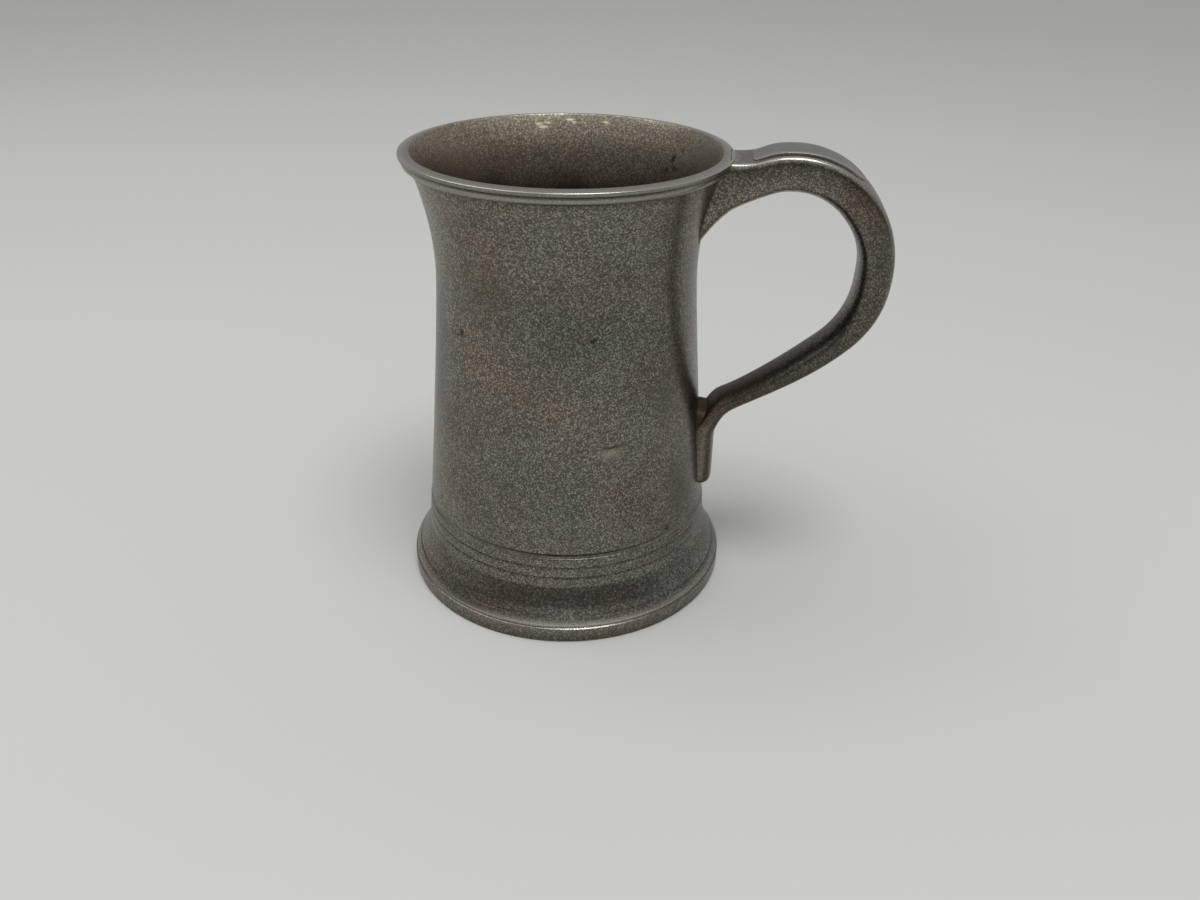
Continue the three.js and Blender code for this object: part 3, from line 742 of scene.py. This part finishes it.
def plateSkin(place, angle):
    straight = plate["length"] - plate["endRound"]
    corner = max(0.0, 1 - place / plate["cornerRound"])
    end = max(0.0, (place - straight) / plate["endRound"])
    width = plate["width"] * math.sqrt(1 - end * end)
    width -= 2 * plate["cornerRound"] * (1 - math.sqrt(1 - corner * corner))
    late = max(0.0, place / plate["length"] * 2 - 1)
    thickness = between(place, plateThickness)
    gap = plate["gap"] + plate["lift"] * late * late * (3 - 2 * late)
    point, outward = onRail(plate["start"] + place)
    squareness = plate["squareness" if math.sin(angle) > 0 else "underSquareness"]
    skin = point + outward * (gap + thickness * (1 + squared(math.sin(angle), squareness)) / 2)
    skin.y += squared(math.cos(angle), squareness) * width / 2
    return skin


def plateWear(place, angle):
    return 0.9 * (max(0.0, math.sin(angle)) * abs(math.cos(angle)) * 2) ** 3


def makePlate():
    cornerRound, straight = plate["cornerRound"], plate["length"] - plate["endRound"]
    count = round((straight - cornerRound) / plate["stepGap"])
    places = [cornerRound * (1 - math.cos(step * math.pi / 12)) for step in range(6)]
    places += [cornerRound + (straight - cornerRound) * step / count for step in range(count + 1)]
    places += [straight + plate["endRound"] * math.sin(step * math.pi / 26) for step in range(1, 13)]
    mesh = loft(plate["points"], places, plateSkin)
    closeEnds(mesh)
    markLoft(mesh, "wearAndHighlight", plateWear)
    finishPiece("thumb_plate_rubbed", mesh, [rubbedPewter], ["thumb_plate"], sharpAngle=60)


makePlate()


# Handle solder: a hollow fillet along each joint with the drum, larger in the notch over the tongue.
fillet = {
    "points": 72, "rootReach": 0.7, "tongueReach": 0.8, "notchReach": 4.6, "hollow": 0.3, "sunk": 0.35,
    "tongueHalf": 6.9, "notchFoot": 47.0, "notchHeight": 54.4, "squareness": 8.0, "notchSquareness": 4.0,
    "inside": 0.2, "corners": 5,
}


def filletCorner(step, joint, alongDrum, alongHandle, reach):
    # five corners round the fillet: on the drum, in its hollow, on the handle, and two inside the metal
    offsets = [(1, -fillet["sunk"]), (fillet["hollow"], fillet["hollow"]), (-fillet["sunk"], 1),
               (-fillet["sunk"] * 2, fillet["inside"]), (fillet["inside"], -fillet["sunk"] * 2)]
    onDrum, onHandle = offsets[step]
    drumShare = onDrum * (reach if onDrum > 0 else 1)
    handleShare = onHandle * (reach if onHandle > 0 else 1)
    return joint + alongDrum * drumShare + alongHandle * handleShare


def rootFilletSkin(step, angle):
    place = leaveDrum(angle, 0)
    joint = handlePoint(place, angle)
    alongHandle = (handlePoint(place + 0.5, angle) - joint).normalized()
    point, outward = onRail(place)
    middle = point - outward * (handle["rootTop"] - handlePoint(place, -math.pi / 2).z) / 2
    fromDrum = Vector((joint.x, joint.y, 0)).normalized()
    spread = joint - middle
    alongDrum = (spread - fromDrum * spread.dot(fromDrum)).normalized()
    return filletCorner(int(step), joint, alongDrum, alongHandle, fillet["rootReach"])


def tongueFilletSkin(step, angle):
    low, high = handle["tailEnd"] + 0.3, fillet["notchHeight"]
    squareness = fillet["notchSquareness" if math.sin(angle) > 0 else "squareness"]
    side, rise = squared(math.cos(angle), squareness), squared(math.sin(angle), squareness)
    y, z = side * fillet["tongueHalf"], (low + high) / 2 + rise * (high - low) / 2
    joint = Vector((math.sqrt(drumRadius(z) ** 2 - y * y), y, z))
    fromDrum = Vector((joint.x, joint.y, 0)).normalized()
    notch = max(0.0, (z - fillet["notchFoot"]) / (high - fillet["notchFoot"]))
    alongDrum = Vector((0, math.cos(angle) ** 3, math.sin(angle) ** 3)).normalized()
    alongDrum = (alongDrum - fromDrum * alongDrum.dot(fromDrum)).normalized()
    # in the notch the fillet reaches across to the arm
    alongHandle = fromDrum * (1 + (fillet["notchReach"] / fillet["tongueReach"] - 1) * notch)
    return filletCorner(int(step), joint, alongDrum, alongHandle, fillet["tongueReach"])


def makeFillets():
    for name, skin, node, stained, dirty in (
            ("root_solder_fillet", rootFilletSkin, "root_solder", 0.2, 0.5),
            ("tongue_solder_fillet", tongueFilletSkin, "tail_solder", 0.85, 0.62)):
        mesh = loft(fillet["points"], range(fillet["corners"]), skin)
        closeRound(mesh)
        markLoft(mesh, "stain", lambda step, angle: stained * max(0.15, squared(math.sin(angle), 8)) ** 2)
        markLoft(mesh, "grimeAndShade", lambda step, angle: dirty)
        piece = finishPiece(name, mesh, [softSolder], [node], sharpAngle=75)
        smoothPiece(piece, 2)


makeFillets()


# Stage: a pale floor, a soft room and two soft lamps.
stage = {"floorSize": 8.0, "floorColour": "#d2d3cd", "floorRough": 0.6, "floorDrop": 0.05 * mm}


def makeStage():
    mesh = bmesh.new()
    bmesh.ops.create_grid(mesh, x_segments=1, y_segments=1, size=stage["floorSize"] / 2)
    data = bpy.data.meshes.new("table")
    mesh.to_mesh(data)
    mesh.free()
    table = bpy.data.objects.new("table", data)
    bpy.context.scene.collection.objects.link(table)
    table.location.z = -stage["floorDrop"]
    material = bpy.data.materials.new("paleTable")
    material.use_nodes = True
    shader = material.node_tree.nodes["Principled BSDF"]
    shader.inputs["Base Color"].default_value = linear(stage["floorColour"])
    shader.inputs["Roughness"].default_value = stage["floorRough"]
    data.materials.append(material)


makeStage()

# The room is dim at table height on the viewer's side and brighter above, behind and at the sides.
room = {
    "viewerLow": 0.03, "viewerHigh": 0.62, "left": 0.38, "right": 0.46, "ceiling": 0.5,
    "viewerStart": 0.1, "viewerFull": -0.5, "dimBelow": 0.14, "brightAbove": 0.4, "ceilingStart": 0.55,
    "ceilingFull": 0.9,
}


def makeRoom():
    world = bpy.data.worlds.new("softRoom")
    bpy.context.scene.world = world
    world.use_nodes = True
    tree = world.node_tree
    tree.nodes.clear()
    direction = addNode(tree, "ShaderNodeTexCoord", out="Generated")
    parts = addNode(tree, "ShaderNodeSeparateXYZ", {"Vector": direction}).node.outputs
    viewer = addNode(tree, "ShaderNodeMapRange", {
        "Value": parts["Y"], "From Min": room["viewerStart"], "From Max": room["viewerFull"]},
        interpolation_type="SMOOTHSTEP")
    rising = addNode(tree, "ShaderNodeMapRange", {
        "Value": parts["Z"], "From Min": room["dimBelow"], "From Max": room["brightAbove"],
        "To Min": room["viewerLow"], "To Max": room["viewerHigh"]}, interpolation_type="SMOOTHSTEP")
    around = addNode(tree, "ShaderNodeMapRange", {
        "Value": parts["X"], "From Min": -1.0, "To Min": room["left"], "To Max": room["right"]})
    level = addNode(tree, "ShaderNodeMix", {0: viewer, 2: around, 3: rising})
    height = addNode(tree, "ShaderNodeMapRange", {
        "Value": parts["Z"], "From Min": room["ceilingStart"], "From Max": room["ceilingFull"]})
    light = addNode(tree, "ShaderNodeMix", {0: height, 2: level, 3: room["ceiling"]})
    shine = addNode(tree, "ShaderNodeBackground", {"Color": light, "Strength": 1.0})
    addNode(tree, "ShaderNodeOutputWorld", {"Surface": shine})


makeRoom()

lamps = {
    "ceilingLamp": {"place": (0.2, -0.3, 1.15), "size": 0.5, "power": 5.0},
    "windowLamp": {"place": (-0.62, 0.05, 0.95), "size": 0.9, "power": 2.3},
}
lampAim = Vector((0, 0, 0.06))


def makeLamps():
    for name, lamp in lamps.items():
        light = bpy.data.lights.new(name, "AREA")
        light.shape = "DISK"
        light.size = lamp["size"]
        light.energy = lamp["power"]
        thing = bpy.data.objects.new(name, light)
        bpy.context.scene.collection.objects.link(thing)
        place = Vector(lamp["place"])
        thing.location = place
        thing.rotation_euler = (lampAim - place).to_track_quat("-Z", "Y").to_euler()


makeLamps()

# Camera: where the photograph was taken from, found from the ellipses of the rim and the foot.
camera = {
    "distance": 270.73, "height": 189.61, "bearing": 8.5, "turn": 2.127, "tilt": 29.683, "roll": -0.971,
    "focalPixels": 1015.25, "imageWidth": 1200, "sensor": 36.0,
}


def makeCamera():
    view = bpy.data.cameras.new("photoCamera")
    view.sensor_fit = "HORIZONTAL"
    view.sensor_width = camera["sensor"]
    view.lens = camera["sensor"] * camera["focalPixels"] / camera["imageWidth"]
    view.clip_start = 0.01
    thing = bpy.data.objects.new("photoCamera", view)
    bpy.context.scene.collection.objects.link(thing)
    bearing, turn, tilt, roll = (math.radians(camera[name]) for name in ("bearing", "turn", "tilt", "roll"))
    reach = camera["distance"] * mm
    place = Vector((reach * math.sin(bearing), -reach * math.cos(bearing), camera["height"] * mm))
    thing.matrix_world = (
        Matrix.Translation(place) @ Matrix.Rotation(bearing - turn, 4, "Z")
        @ Matrix.Rotation(math.pi / 2 - tilt, 4, "X") @ Matrix.Rotation(-roll, 4, "Z")
    )
    bpy.context.scene.camera = thing


makeCamera()
bpy.context.scene.view_settings.view_transform = "Standard"
